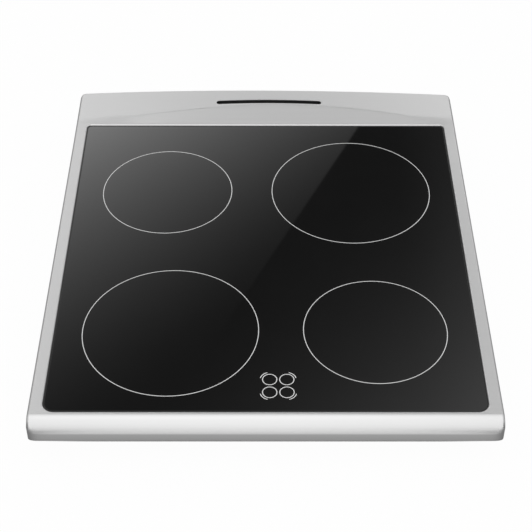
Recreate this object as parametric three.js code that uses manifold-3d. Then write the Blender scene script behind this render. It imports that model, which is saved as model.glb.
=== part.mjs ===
// Induction cooktop of a 500 mm wide free-standing cooker: a black glass-ceramic hob with four
// cooking zones, bonded into a pressed stainless-steel top whose front is a rounded nose and whose
// raised rear holds the slot of the oven's vent. A sheet-steel tray under the glass carries the
// coils, their power electronics and two blowers that draw air in through the tray's floor.
//
// Millimetres. +Z is up, the cook stands at -Y, and the origin is the middle of the footprint, on
// the underside of the tray.

import * as THREE from "three";
import { mergeVertices } from "three/addons/utils/BufferGeometryUtils.js";
import Module from "manifold-3d";

const wasm = await Module();
wasm.setup();

// ---------------------------------------------------------------- driving dimensions

const WIDTH = 500;
const DEPTH = 587;
const SHEET = 1; // thickness of the pressed and folded steel
const GAP = 0.3; // clearance between round faces that meet

const GLASS_TOP = 52;
const GLASS_THICK = 4;
const GLASS_BOTTOM = GLASS_TOP - GLASS_THICK;
const JOINT = 1; // width of the sealed joint round the glass

// The pressed top: where its opening lies, and the forms round it.
const FRONT = -DEPTH / 2;
const BACK = DEPTH / 2;
const NOSE = 18; // from the foremost line of the nose to the opening
const NOSE_REACH = 15.5; // how far the nose's arc runs forward, and how far down
const NOSE_TILT = THREE.MathUtils.degToRad(10); // the arc's angle to the top and to the skirt
const NOSE_RADIUS = NOSE_REACH / (Math.cos(NOSE_TILT) - Math.sin(NOSE_TILT));
const EDGE_RADIUS = 3; // along the sides and the rear
const REAR_CORNER = 7; // radius of the outline's rear corners, seen from above
const FRONT_CORNER_WIDTH = 12; // the front corners are quarter ellipses
const FRONT_CORNER_DEPTH = 4.5;
const RAIL_TOP = GLASS_TOP + 0.8;
const SKIRT_BOTTOM = GLASS_TOP - 25.5;
const RETURN_FLANGE = 10;

const OPENING_WIDTH = 470;
const OPENING_DEPTH = 500;
const OPENING_FRONT = FRONT + NOSE;
const OPENING_BACK = OPENING_FRONT + OPENING_DEPTH;
const OPENING_FRONT_RADIUS = 13;
const OPENING_REAR_RADIUS = 6;
const OPENING_CHAMFER = 0.8;
const LEDGE = 12; // how far the support under the glass reaches in
const LEDGE_TOP = GLASS_BOTTOM - 1;
const LEDGE_BOTTOM = LEDGE_TOP - SHEET;

// The raised rear: a ramp behind the glass runs up into a top that is arched from side to side.
// The crease between them is bowed: far behind the glass in the middle, close to it at the sides.
const RISE_START = OPENING_BACK - 40; // from here the rails rise to the level of the ramp's foot
const RAMP_FOOT = GLASS_TOP + 1.5;
const RAMP_START = OPENING_BACK + 2.2;
const CREASE_MIDDLE = OPENING_BACK + 35.8;
const CREASE_SIDE = OPENING_BACK + 8;
const CREASE_X = 8;
const CREASE_BOW = 35; // the crease lies this much nearer to the glass at CREASE_REACH from CREASE_X
const CREASE_REACH = 240;
const ARCH_RISE = 8.7; // above the glass, in the middle
const ARCH_DROP = 6.7; // lower again at ARCH_REACH from the middle
const ARCH_REACH = 245;

// The slot of the oven vent, bowed towards the rear in its middle.
const SLOT_X = 4;
const SLOT_Y = OPENING_FRONT + 543.5;
const SLOT_LENGTH = 141;
const SLOT_WIDTH = 7;
const SLOT_BOW = 2;

// The tray that hangs under the opening.
const TRAY_LEFT = -212;
const TRAY_RIGHT = 212;
const TRAY_FRONT = -262;
const TRAY_BACK = 202;
const TRAY_RADIUS = 8;
const TRAY_FLANGE = 23; // at the sides and the rear
const TRAY_FRONT_FLANGE = 16.5;
const TRAY_FLANGE_RADIUS = 2;
const TRAY_FLANGE_TOP = LEDGE_BOTTOM;
const TRAY_FLOOR = SHEET; // upper face of the floor

// The four zones. Each large one stands diagonally opposite the other, and so do the small ones.
const LARGE = { coil: 92, turns: 7, arms: 8 };
const SMALL = { coil: 74, turns: 5, arms: 6 };
const ZONE_FRONT_Y = OPENING_FRONT + 119.7;
const ZONE_REAR_Y = OPENING_FRONT + 363.9;
const LARGE_X = 106;
const SMALL_X = 122;
const ZONES = [
  { name: "front_left", x: -LARGE_X, y: ZONE_FRONT_Y, ...LARGE },
  { name: "front_right", x: SMALL_X, y: ZONE_FRONT_Y, ...SMALL },
  { name: "rear_left", x: -SMALL_X, y: ZONE_REAR_Y, ...SMALL },
  { name: "rear_right", x: LARGE_X, y: ZONE_REAR_Y, ...LARGE },
];

// Heights inside the tray, from the floor up.
const BOARD_BOTTOM = 6;
const BOARD_THICK = 1.6;
const BOARD_TOP = BOARD_BOTTOM + BOARD_THICK;
const RAIL_HEIGHT = 31; // top of the cross rails
const PLATE_BOTTOM = 35.5;
const PLATE_TOP = PLATE_BOTTOM + 1.5;
const CARRIER_TOP = PLATE_TOP + 5;
const WINDING_TOP = CARRIER_TOP + 3.5;

// The electronics of each side are one unit, and both units are the same: a board, a heat sink on
// it, and a blower whose outlet is in line with the heat sink.
const UNIT_WIDTH = 186;
const UNITS = [-206, 20].map((left, i) => ({ label: ["left", "right"][i], left, fanX: left + 81 }));
const FAN_Y = 134;
const OUTLET_OFFSET = 36; // from the blower's middle to the middle of its outlet
const ROTOR_RADIUS = 33;
const ROTOR_BLADES = 12;
const SHAFT_RADIUS = 2.5;
const HOUSING_TOP = 28;
const HOUSING_LID = 1.5;

// The residual-heat indicator under the glass, between the two front zones.
const INDICATOR_X = 13.5;
const INDICATOR_Y = OPENING_FRONT + 37;
const INDICATOR_PITCH = 18.4;

// ---------------------------------------------------------------- materials

const STEEL = { color: 0xc4c5c6, roughness: 0.32, metalness: 1 };
const GALVANISED = { color: 0xa9adb0, roughness: 0.45, metalness: 1 };
const GLASS = { color: 0x08080a, roughness: 0.06, metalness: 0 };
const SILICONE = { color: 0x101010, roughness: 0.7, metalness: 0 };
const BLACK_ENAMEL = { color: 0x141414, roughness: 0.5, metalness: 0.2 };
const ALUMINIUM = { color: 0xc9cbcd, roughness: 0.4, metalness: 1 };
const COPPER = { color: 0xb06a3b, roughness: 0.45, metalness: 1 };
const CARRIER = { color: 0x2a2a2c, roughness: 0.75, metalness: 0 };
const MICA = { color: 0xcfc6b2, roughness: 0.8, metalness: 0 };
const BOARD = { color: 0x1f5a35, roughness: 0.55, metalness: 0 };
const BLACK_PLASTIC = { color: 0x1b1b1d, roughness: 0.6, metalness: 0 };
const CLEAR_PLASTIC = { color: 0xd9dcdf, roughness: 0.2, metalness: 0 };
const ZINC = { color: 0xb9bcc0, roughness: 0.35, metalness: 1 };

// ---------------------------------------------------------------- making solids

// A closed geometry as a manifold-3d solid.
function solid(geometry) {
  const bare = geometry.clone();
  bare.deleteAttribute("normal");
  bare.deleteAttribute("uv");
  const merged = mergeVertices(bare, 1e-4);
  const mesh = new wasm.Mesh({
    numProp: 3,
    vertProperties: new Float32Array(merged.attributes.position.array),
    triVerts: new Uint32Array(merged.index.array),
  });
  return new wasm.Manifold(mesh);
}

// A manifold-3d solid as a geometry.
function geometryOf(made) {
  const mesh = made.getMesh();
  const geometry = new THREE.BufferGeometry();
  geometry.setAttribute("position", new THREE.BufferAttribute(mesh.vertProperties, 3));
  geometry.setIndex(new THREE.BufferAttribute(mesh.triVerts, 1));
  geometry.computeVertexNormals();
  return geometry;
}

function union(first, ...others) {
  return others.reduce((sum, other) => sum.add(other), first);
}

function cut(first, ...others) {
  return others.reduce((rest, other) => rest.subtract(other), first);
}

// A shape raised from z0 to z1. An arc in it gets twice `fineness` edges.
function raised(shape, z0, z1, fineness = 3) {
  const options = { depth: z1 - z0, bevelEnabled: false, curveSegments: fineness };
  return solid(new THREE.ExtrudeGeometry(shape, options).translate(0, 0, z0));
}

// A shape drawn in (y, z), drawn out along X.
function drawnAlongX(shape, x0, x1, fineness = 3) {
  const options = { depth: x1 - x0, bevelEnabled: false, curveSegments: fineness };
  const turn = new THREE.Matrix4().makeBasis(
    new THREE.Vector3(0, 1, 0),
    new THREE.Vector3(0, 0, 1),
    new THREE.Vector3(1, 0, 0),
  );
  return solid(new THREE.ExtrudeGeometry(shape, options).applyMatrix4(turn).translate(x0, 0, 0));
}

// A shape drawn in (x, z), drawn out along Y.
function drawnAlongY(shape, y0, y1, fineness = 3) {
  const options = { depth: y1 - y0, bevelEnabled: false, curveSegments: fineness };
  const turn = new THREE.Matrix4().makeBasis(
    new THREE.Vector3(1, 0, 0),
    new THREE.Vector3(0, 0, 1),
    new THREE.Vector3(0, -1, 0),
  );
  return solid(new THREE.ExtrudeGeometry(shape, options).applyMatrix4(turn).translate(0, y1, 0));
}

// A profile of [radius, z] pairs turned about a vertical axis.
function turned(profile, segments, x = 0, y = 0) {
  const points = profile.map(([radius, z]) => new THREE.Vector2(radius, z));
  return solid(new THREE.LatheGeometry(points, segments).rotateX(Math.PI / 2).translate(x, y, 0));
}

// The profile of a ring, as a closed loop of [radius, z] pairs.
function ringProfile(inner, outer, z0, z1) {
  return [[inner, z0], [outer, z0], [outer, z1], [inner, z1], [inner, z0]];
}

// The profile of a plain disc, from the axis out and back.
function discProfile(radius, z0, z1) {
  return [[0, z0], [radius, z0], [radius, z1], [0, z1]];
}

function box(x0, x1, y0, y1, z0, z1) {
  const block = new THREE.BoxGeometry(x1 - x0, y1 - y0, z1 - z0);
  return solid(block.translate((x0 + x1) / 2, (y0 + y1) / 2, (z0 + z1) / 2));
}

// A closed solid through a row of matching loops of [u, v] points. place(u, v, at) puts a point of
// the loop at `at` in space; u, v and the direction in which `at` grows are a right-handed set.
function lofted(loops, place) {
  const count = loops[0].points.length;
  const position = loops.flatMap(({ at, points }) => points.flatMap(([u, v]) => place(u, v, at)));
  const index = [];
  for (let k = 0; k + 1 < loops.length; k++) {
    for (let i = 0; i < count; i++) {
      const a = k * count + i;
      const b = k * count + ((i + 1) % count);
      index.push(a, b, b + count, a, b + count, a + count);
    }
  }
  const capOf = ({ points }) =>
    THREE.ShapeUtils.triangulateShape(points.map(([u, v]) => new THREE.Vector2(u, v)), []);
  for (const [a, b, c] of capOf(loops[0])) index.push(a, c, b);
  const last = (loops.length - 1) * count;
  for (const [a, b, c] of capOf(loops.at(-1))) index.push(last + a, last + b, last + c);
  const geometry = new THREE.BufferGeometry();
  geometry.setAttribute("position", new THREE.Float32BufferAttribute(position, 3));
  geometry.setIndex(index);
  return solid(geometry);
}

// A rectangle with round corners, and a radius for the front pair and for the rear pair.
function roundedRectangle(left, right, front, back, frontRadius, rearRadius = frontRadius) {
  const shape = new THREE.Shape();
  shape.absarc(left + frontRadius, front + frontRadius, frontRadius, Math.PI, 1.5 * Math.PI);
  shape.absarc(right - frontRadius, front + frontRadius, frontRadius, 1.5 * Math.PI, 2 * Math.PI);
  shape.absarc(right - rearRadius, back - rearRadius, rearRadius, 0, 0.5 * Math.PI);
  shape.absarc(left + rearRadius, back - rearRadius, rearRadius, 0.5 * Math.PI, Math.PI);
  return shape;
}

function rectangle(left, right, front, back) {
  const corners = [[left, front], [right, front], [right, back], [left, back]];
  return new THREE.Shape(corners.map(([x, y]) => new THREE.Vector2(x, y)));
}

function polygon(points) {
  return new THREE.Shape(points.map(([u, v]) => new THREE.Vector2(u, v)));
}

// A closed shape's corners as [x, y] pairs, without the last one where it repeats the first.
function loopOf(shape) {
  const points = shape.getPoints(3);
  if (points[0].distanceTo(points.at(-1)) < 1e-6) points.pop();
  return points.map((point) => [point.x, point.y]);
}

// ---------------------------------------------------------------- the pressed top

// The top's outline from above, drawn in by `inset`.
function topOutline(inset) {
  const side = WIDTH / 2 - inset;
  const front = FRONT + inset;
  const back = BACK - inset;
  const wide = Math.max(FRONT_CORNER_WIDTH - inset, 2);
  const deep = Math.max(FRONT_CORNER_DEPTH - inset, 2);
  const radius = Math.max(REAR_CORNER - inset, 2);
  const shape = new THREE.Shape();
  shape.absellipse(-side + wide, front + deep, wide, deep, Math.PI, 1.5 * Math.PI);
  shape.absellipse(side - wide, front + deep, wide, deep, 1.5 * Math.PI, 2 * Math.PI);
  shape.absarc(side - radius, back - radius, radius, 0, 0.5 * Math.PI);
  shape.absarc(-side + radius, back - radius, radius, 0.5 * Math.PI, Math.PI);
  return shape;
}

// The opening for the glass, made wider on every side by `more`.
function openingOutline(more) {
  const side = OPENING_WIDTH / 2 + more;
  const frontRadius = Math.max(OPENING_FRONT_RADIUS + more, 2);
  const rearRadius = Math.max(OPENING_REAR_RADIUS + more, 2);
  const front = OPENING_FRONT - more;
  const back = OPENING_BACK + more;
  return roundedRectangle(-side, side, front, back, frontRadius, rearRadius);
}

// How much lower the rolled edge at either side is than the face beside it.
function edgeDrop(x, inset) {
  const beyond = Math.max(0, Math.abs(x) - (WIDTH / 2 - EDGE_RADIUS));
  const radius = EDGE_RADIUS - inset;
  return radius - Math.sqrt(Math.max(0, radius ** 2 - beyond ** 2));
}

// Where the ramp reaches the arch.
function creaseAt(x) {
  return Math.max(CREASE_SIDE, CREASE_MIDDLE - CREASE_BOW * ((x - CREASE_X) / CREASE_REACH) ** 2);
}

// The rear's side profile at one x, as [y, z] points: floor, rolled rear edge, arched top, ramp, foot
// and rail.
function rearProfile(x, inset, bottom) {
  const lower = inset + edgeDrop(x, inset);
  const top = GLASS_TOP + ARCH_RISE - ARCH_DROP * (x / ARCH_REACH) ** 2 - lower;
  const radius = EDGE_RADIUS - inset;
  const edgeY = BACK - EDGE_RADIUS;
  const points = [[RISE_START, bottom], [BACK - inset, bottom]];
  const steps = 3;
  for (let i = 0; i <= steps; i++) {
    const angle = (i / steps) * (Math.PI / 2);
    points.push([edgeY + radius * Math.cos(angle), top - radius + radius * Math.sin(angle)]);
  }
  const foot = RAMP_FOOT - lower;
  points.push([creaseAt(x), top], [RAMP_START, foot]);
  points.push([OPENING_BACK - 1, foot], [RISE_START, RAIL_TOP - lower]);
  return points;
}

// Where the rear is cut into stations across its width: evenly over the arch, closer at the edges.
function rearStations(inset) {
  const half = WIDTH / 2 - EDGE_RADIUS;
  const stations = [];
  const across = 16;
  for (let i = 0; i <= across; i++) stations.push(-half + (2 * half * i) / across);
  const radius = EDGE_RADIUS - inset;
  for (const angle of [30, 60, 90]) {
    const out = half + radius * Math.sin(THREE.MathUtils.degToRad(angle));
    stations.push(out);
    stations.unshift(-out);
  }
  return stations;
}

// The whole top as a solid block, drawn in by `inset` all over.
function topBlock(inset, bottom) {
  const seam = RISE_START + 1;
  const noseY = FRONT + NOSE_RADIUS * Math.cos(NOSE_TILT);
  const noseZ = RAIL_TOP - NOSE_RADIUS * Math.cos(NOSE_TILT);
  const radius = NOSE_RADIUS - inset;
  const tilt = Math.acos((NOSE_RADIUS * Math.cos(NOSE_TILT) - inset) / radius);
  const side = new THREE.Shape();
  side.moveTo(seam, bottom);
  side.lineTo(seam, RAIL_TOP - inset);
  side.absarc(noseY, noseZ, radius, Math.PI / 2 + tilt, Math.PI - tilt);
  side.lineTo(FRONT + inset, bottom);
  const half = WIDTH / 2;
  const edgeZ = RAIL_TOP - EDGE_RADIUS;
  const edge = EDGE_RADIUS - inset;
  const across = new THREE.Shape();
  across.moveTo(-half + inset, bottom);
  across.lineTo(half - inset, bottom);
  across.absarc(half - EDGE_RADIUS, edgeZ, edge, 0, Math.PI / 2);
  across.absarc(-half + EDGE_RADIUS, edgeZ, edge, Math.PI / 2, Math.PI);
  const noseAndRails = drawnAlongX(side, -half + inset, half - inset, 6).intersect(
    drawnAlongY(across, FRONT - 1, BACK, 2),
  );
  const loops = rearStations(inset).map((x) => ({ at: x, points: rearProfile(x, inset, bottom) }));
  const rear = lofted(loops, (y, z, x) => [x, y, z]);
  return noseAndRails.add(rear).intersect(raised(topOutline(inset), bottom - 1, 100, 3));
}

// The outline of the vent slot: two bowed sides and two round ends.
function slotOutline() {
  const reach = SLOT_LENGTH / 2 - SLOT_WIDTH / 2;
  const radius = (reach ** 2 + SLOT_BOW ** 2) / (2 * SLOT_BOW);
  const half = SLOT_WIDTH / 2;
  const centreY = SLOT_Y - radius;
  const spread = Math.asin(reach / radius);
  const from = Math.PI / 2 - spread;
  const to = Math.PI / 2 + spread;
  const end = (angle) => [SLOT_X + radius * Math.cos(angle), centreY + radius * Math.sin(angle)];
  const shape = new THREE.Shape();
  shape.absarc(SLOT_X, centreY, radius + half, from, to);
  shape.absarc(...end(to), half, to, to + Math.PI);
  shape.absarc(SLOT_X, centreY, radius - half, to, from, true);
  shape.absarc(...end(from), half, from + Math.PI, from + 2 * Math.PI);
  return shape;
}

// Screws hold the tray's flange to the support under the glass.
const SCREW_X = 228;
const TRAY_SCREWS = [-180, 0, 160].flatMap((y) => [[-SCREW_X, y], [SCREW_X, y]]);
const SCREW_SHANK = 1.8; // radii
const SCREW_HEAD = 4;
const SCREW_HEAD_HEIGHT = 2.6;

// The hole for a screw through the flange and the support.
function screwHole([x, y]) {
  return turned(discProfile(SCREW_SHANK + GAP, LEDGE_BOTTOM - 5, LEDGE_TOP + 1), 8, x, y);
}

function topFrame() {
  const skin = topBlock(0, SKIRT_BOTTOM).subtract(topBlock(SHEET, SKIRT_BOTTOM - 5));
  const chamfer = lofted(
    [0, 1].map((i) => ({
      at: RAIL_TOP - OPENING_CHAMFER + i * 2 * OPENING_CHAMFER,
      points: loopOf(openingOutline(i * 2 * OPENING_CHAMFER)),
    })),
    (x, y, z) => [x, y, z],
  );
  const opening = raised(openingOutline(0), LEDGE_TOP, RAIL_TOP + 20);
  const edgeShape = openingOutline(SHEET);
  edgeShape.holes.push(openingOutline(0));
  const foldedEdge = raised(edgeShape, LEDGE_TOP, RAIL_TOP - 0.2);
  const flangeShape = topOutline(0);
  flangeShape.holes.push(topOutline(RETURN_FLANGE));
  const flange = raised(flangeShape, SKIRT_BOTTOM, SKIRT_BOTTOM + SHEET);
  const slot = raised(slotOutline(), GLASS_TOP, GLASS_TOP + 20);
  return cut(union(skin.subtract(opening), foldedEdge, flange), chamfer, slot);
}

// The flat frame welded under the folded edge of the opening: the glass is bonded to its inner
// margin, and the tray is screwed to it from below.
function glassSupport() {
  const shape = openingOutline(SHEET);
  shape.holes.push(openingOutline(-LEDGE));
  return cut(raised(shape, LEDGE_BOTTOM, LEDGE_TOP), ...TRAY_SCREWS.map(screwHole));
}

// ---------------------------------------------------------------- glass and its seal

function glassPanel() {
  const bevel = 0.5;
  const options = {
    depth: GLASS_THICK - 2 * bevel,
    bevelThickness: bevel,
    bevelSize: bevel,
    bevelOffset: -bevel,
    bevelSegments: 1,
    curveSegments: 3,
  };
  const panel = new THREE.ExtrudeGeometry(openingOutline(-JOINT), options);
  return solid(panel.translate(0, 0, GLASS_BOTTOM + bevel));
}

// The silicone bead: a pad between glass and support, and a lip that fills the joint round the glass.
function glassSeal() {
  const clear = 0.1;
  const padShape = openingOutline(-clear);
  padShape.holes.push(openingOutline(-LEDGE + 3));
  const lipShape = openingOutline(-clear);
  lipShape.holes.push(openingOutline(-JOINT + clear));
  const pad = raised(padShape, LEDGE_TOP, GLASS_BOTTOM);
  return pad.add(raised(lipShape, LEDGE_TOP, GLASS_TOP - 0.4));
}

// ---------------------------------------------------------------- the oven vent behind the glass

// A duct of folded sheet under the slot, on two feet that stand on the rear return flange.
function ventDuct() {
  const left = SLOT_X - SLOT_LENGTH / 2 - 5;
  const right = SLOT_X + SLOT_LENGTH / 2 + 5;
  const front = SLOT_Y - SLOT_WIDTH / 2 - SLOT_BOW - 4;
  const back = SLOT_Y + SLOT_WIDTH / 2 + 4;
  const bottom = SKIRT_BOTTOM + SHEET;
  const walls = rectangle(left, right, front, back);
  walls.holes.push(rectangle(left + SHEET, right - SHEET, front + SHEET, back - SHEET));
  const loops = rearStations(0).map((x) => ({
    at: x,
    points: rearProfile(x, SHEET, bottom - 5).map(([y, z]) => [y, z - GAP]),
  }));
  const room = lofted(loops, (y, z, x) => [x, y, z]);
  const duct = raised(walls, bottom, GLASS_TOP + 20).intersect(room);
  const feet = [left + 12, right - 32].map((x) =>
    box(x, x + 20, back - SHEET, BACK - 4, bottom, bottom + SHEET),
  );
  return union(duct, ...feet);
}

// ---------------------------------------------------------------- the tray

// The slots of a round air inlet: rings of arc-shaped slots round a solid middle.
function inletSlots(x, y) {
  const slots = [];
  for (const radius of [13, 24]) {
    const count = radius < 15 ? 2 : 3;
    const spoke = 5 / radius;
    for (let i = 0; i < count; i++) {
      const from = (2 * Math.PI * i) / count + spoke / 2;
      const to = (2 * Math.PI * (i + 1)) / count - spoke / 2;
      const slot = new THREE.Path();
      slot.absarc(x, y, radius + 3, from, to);
      slot.absarc(x, y, radius - 3, to, from, true);
      slots.push(slot);
    }
  }
  return slots;
}

const INLET_X = 0; // the mains cable comes in through the rear wall
const INLET_Z = 16;
const INLET_RADIUS = 10;

function baseTray() {
  const outer = roundedRectangle(TRAY_LEFT, TRAY_RIGHT, TRAY_FRONT, TRAY_BACK, TRAY_RADIUS);
  const inner = roundedRectangle(
    TRAY_LEFT + SHEET,
    TRAY_RIGHT - SHEET,
    TRAY_FRONT + SHEET,
    TRAY_BACK - SHEET,
    TRAY_RADIUS - SHEET,
  );
  const floor = roundedRectangle(TRAY_LEFT, TRAY_RIGHT, TRAY_FRONT, TRAY_BACK, TRAY_RADIUS);
  floor.holes.push(...UNITS.flatMap((unit) => inletSlots(unit.fanX, FAN_Y)));
  outer.holes.push(inner);
  const flange = roundedRectangle(
    TRAY_LEFT - TRAY_FLANGE,
    TRAY_RIGHT + TRAY_FLANGE,
    TRAY_FRONT - TRAY_FRONT_FLANGE,
    TRAY_BACK + TRAY_FLANGE,
    TRAY_FLANGE_RADIUS,
  );
  flange.holes.push(inner);
  const tray = union(
    raised(floor, 0, TRAY_FLOOR, 2),
    raised(outer, 0, TRAY_FLANGE_TOP, 2),
    raised(flange, TRAY_FLANGE_TOP - SHEET, TRAY_FLANGE_TOP, 2),
  );
  const cuts = TRAY_SCREWS.map(screwHole);
  // Warm air leaves through two rows of upright slots in the front wall.
  for (const unit of UNITS) {
    for (let i = -3; i <= 3; i++) {
      const x = unit.fanX - OUTLET_OFFSET + 14 * i;
      cuts.push(box(x - 2.5, x + 2.5, TRAY_FRONT - 2, TRAY_FRONT + 2, 10, 32));
    }
  }
  const cable = new THREE.Shape();
  cable.absarc(INLET_X, INLET_Z, INLET_RADIUS + 1.5, 0, 2 * Math.PI);
  cuts.push(drawnAlongY(cable, TRAY_BACK - 3, TRAY_BACK + 3, 8));
  return cut(tray, ...cuts);
}

// A rubber bush snapped into the cable hole: a waist in the wall and a collar on either side.
function cableGrommet() {
  const bore = INLET_RADIUS - 3;
  const waist = INLET_RADIUS + 1.5 - GAP;
  const collar = INLET_RADIUS + 4;
  const profile = [
    [bore, -3.5],
    [collar, -3.5],
    [collar, -SHEET / 2],
    [waist, -SHEET / 2],
    [waist, SHEET / 2],
    [collar, SHEET / 2],
    [collar - 1, 4],
    [bore, 4],
    [bore, -3.5],
  ];
  const points = profile.map(([radius, along]) => new THREE.Vector2(radius, along));
  const bush = new THREE.LatheGeometry(points, 12);
  return solid(bush.translate(INLET_X, TRAY_BACK - SHEET / 2, INLET_Z));
}

// A pan-head screw, put in from below: its shank goes up through flange and support.
function trayScrew([x, y]) {
  const seat = TRAY_FLANGE_TOP - SHEET;
  const tip = LEDGE_TOP - 0.2;
  const profile = [
    [0, seat - SCREW_HEAD_HEIGHT],
    [0.65 * SCREW_HEAD, seat - SCREW_HEAD_HEIGHT],
    [SCREW_HEAD, seat - 0.55 * SCREW_HEAD_HEIGHT],
    [SCREW_HEAD, seat],
    [SCREW_SHANK, seat],
    [SCREW_SHANK, tip],
    [0, tip],
  ];
  return turned(profile, 8, x, y);
}

const BRACKET_X = 200; // from the middle to either bracket
const BRACKET_WIDTH = 30;
const BRACKET_THICK = 1.5;
const BRACKET_BOTTOM = 6;

// An angle spot-welded under the rear return flange; the cooker's back panel is screwed to its leg.
function rearBracket(side) {
  const middle = side * BRACKET_X;
  const front = BACK - 8;
  const back = BACK - SHEET;
  const leg = front + BRACKET_THICK;
  const foot = SKIRT_BOTTOM - BRACKET_THICK;
  const profile = polygon([
    [front, BRACKET_BOTTOM],
    [leg, BRACKET_BOTTOM],
    [leg, foot],
    [back, foot],
    [back, SKIRT_BOTTOM],
    [front, SKIRT_BOTTOM],
  ]);
  const hole = new THREE.Shape();
  hole.absarc(middle, BRACKET_BOTTOM + 7, 2.25, 0, 2 * Math.PI);
  const angle = drawnAlongX(profile, middle - BRACKET_WIDTH / 2, middle + BRACKET_WIDTH / 2);
  return angle.subtract(drawnAlongY(hole, front - 1, leg + 1, 4));
}

// ---------------------------------------------------------------- what carries the coils

const RAIL_WIDTH = 12;
const FRONT_RAIL_Y = TRAY_FRONT + 4;
const REAR_RAIL_Y = TRAY_BACK - 6 - RAIL_WIDTH;

// An inverted channel across the tray, standing on its floor.
function crossRail(y) {
  const profile = polygon([
    [y, TRAY_FLOOR],
    [y + SHEET, TRAY_FLOOR],
    [y + SHEET, RAIL_HEIGHT - SHEET],
    [y + RAIL_WIDTH - SHEET, RAIL_HEIGHT - SHEET],
    [y + RAIL_WIDTH - SHEET, TRAY_FLOOR],
    [y + RAIL_WIDTH, TRAY_FLOOR],
    [y + RAIL_WIDTH, RAIL_HEIGHT],
    [y, RAIL_HEIGHT],
  ]);
  return drawnAlongX(profile, TRAY_LEFT + TRAY_RADIUS, TRAY_RIGHT - TRAY_RADIUS);
}

// The rear rail lets the mains cable through.
function rearRail() {
  const hole = new THREE.Shape();
  hole.absarc(INLET_X, INLET_Z, INLET_RADIUS - 1, 0, 2 * Math.PI);
  const through = drawnAlongY(hole, REAR_RAIL_Y - 2, REAR_RAIL_Y + RAIL_WIDTH + 2, 6);
  return crossRail(REAR_RAIL_Y).subtract(through);
}

// A bowed leaf between rail and coil plate: it presses the plate, and so the coils, up to the glass.
function leafSpring(x, railY) {
  const half = 24;
  const foot = 6;
  const thick = 0.6;
  const rise = PLATE_BOTTOM - RAIL_HEIGHT - thick;
  const radius = (half ** 2 + rise ** 2) / (2 * rise);
  const centreZ = RAIL_HEIGHT + rise - radius;
  const spread = Math.asin(half / radius);
  const leaf = new THREE.Shape();
  leaf.moveTo(x - half - foot, RAIL_HEIGHT + thick);
  leaf.lineTo(x - half - foot, RAIL_HEIGHT);
  leaf.absarc(x, centreZ, radius, Math.PI / 2 + spread, Math.PI / 2 - spread, true);
  leaf.lineTo(x + half + foot, RAIL_HEIGHT);
  leaf.lineTo(x + half + foot, RAIL_HEIGHT + thick);
  leaf.absarc(x, centreZ, radius + thick, Math.PI / 2 - spread, Math.PI / 2 + spread);
  return drawnAlongY(leaf, railY + 1, railY + RAIL_WIDTH - 1, 4);
}

// An aluminium plate under each pair of coils, notched at the front where the indicator stands.
function coilPlate(side) {
  const inner = side < 0 ? -11 : 8;
  const outer = side * 208;
  const notchX = side < 0 ? inner : INDICATOR_X + 30;
  const notchY = INDICATOR_Y + 20;
  const front = TRAY_FRONT + 4;
  const back = TRAY_BACK - 5;
  const shape = new THREE.Shape();
  shape.moveTo(outer, front);
  shape.lineTo(outer, back);
  shape.lineTo(inner, back);
  if (side > 0) {
    shape.lineTo(inner, notchY);
    shape.lineTo(notchX, notchY);
  }
  shape.lineTo(notchX, front);
  for (const zone of ZONES.filter((z) => Math.sign(z.x) === side)) {
    const hole = new THREE.Path();
    hole.absarc(zone.x, zone.y, 10, 0, 2 * Math.PI);
    shape.holes.push(hole);
  }
  return raised(shape, PLATE_BOTTOM, PLATE_TOP, 4);
}

// A moulded carrier: hub, rim and the arms that hold the ferrite bars under the winding.
function coilCarrier(zone) {
  const { x, y, coil } = zone;
  const hub = turned(ringProfile(14, 22, PLATE_TOP, CARRIER_TOP), 10, x, y);
  const rim = turned(ringProfile(coil - 5, coil + 1, PLATE_TOP, CARRIER_TOP), 20, x, y);
  const arms = [];
  for (let i = 0; i < zone.arms; i++) {
    const arm = new THREE.BoxGeometry(coil - 22, 13, CARRIER_TOP - PLATE_TOP);
    arm.translate((coil - 22) / 2 + 20, 0, (CARRIER_TOP + PLATE_TOP) / 2);
    arms.push(solid(arm.rotateZ((2 * Math.PI * i) / zone.arms).translate(x, y, 0)));
  }
  return union(hub, rim, ...arms);
}

// The winding: litz laid in a flat spiral, a band of rectangular section.
function coilWinding(zone) {
  const innerRadius = 27;
  const stepsPerTurn = 12;
  const between = 1.8; // clear space from one turn to the next
  const pitch = (zone.coil - innerRadius + between) / (zone.turns + 1);
  const band = pitch - between;
  const steps = zone.turns * stepsPerTurn;
  const section = [
    [CARRIER_TOP, 0],
    [WINDING_TOP, 0],
    [WINDING_TOP, band],
    [CARRIER_TOP, band],
  ];
  const loops = Array.from({ length: steps + 1 }, (_, i) => ({ at: i / stepsPerTurn, points: section }));
  const place = (z, across, turn) => {
    const angle = 2 * Math.PI * turn;
    const radius = innerRadius + pitch * turn + across;
    return [zone.x + radius * Math.cos(angle), zone.y + radius * Math.sin(angle), z];
  };
  return lofted(loops, place);
}

// A ceramic-fibre and mica disc that keeps the glass's heat off the winding.
function insulationDisc(zone) {
  return turned(ringProfile(9, zone.coil + 1, WINDING_TOP, GLASS_BOTTOM), 20, zone.x, zone.y);
}

// A sensor cap in the middle of the coil, its tip against the glass.
function glassSensor(zone) {
  const profile = [
    [0, PLATE_BOTTOM - 4],
    [8, PLATE_BOTTOM - 4],
    [8, PLATE_TOP],
    [12, PLATE_TOP],
    [12, PLATE_TOP + 1.5],
    [7, PLATE_TOP + 2.5],
    [5.5, GLASS_BOTTOM],
    [0, GLASS_BOTTOM],
  ];
  return turned(profile, 8, zone.x, zone.y);
}

// ---------------------------------------------------------------- electronics

const SINK_WIDTH = 40;
const SINK_FRONT = -175;
const SINK_BACK = 70;
const JOIN = 0.5; // how far a board's posts and components reach into it
const POST_INSET = 8; // from a power board's edge to the middle of a post
const COMPONENT_REACH = 22; // from the middle of a relay or choke to either side

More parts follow.
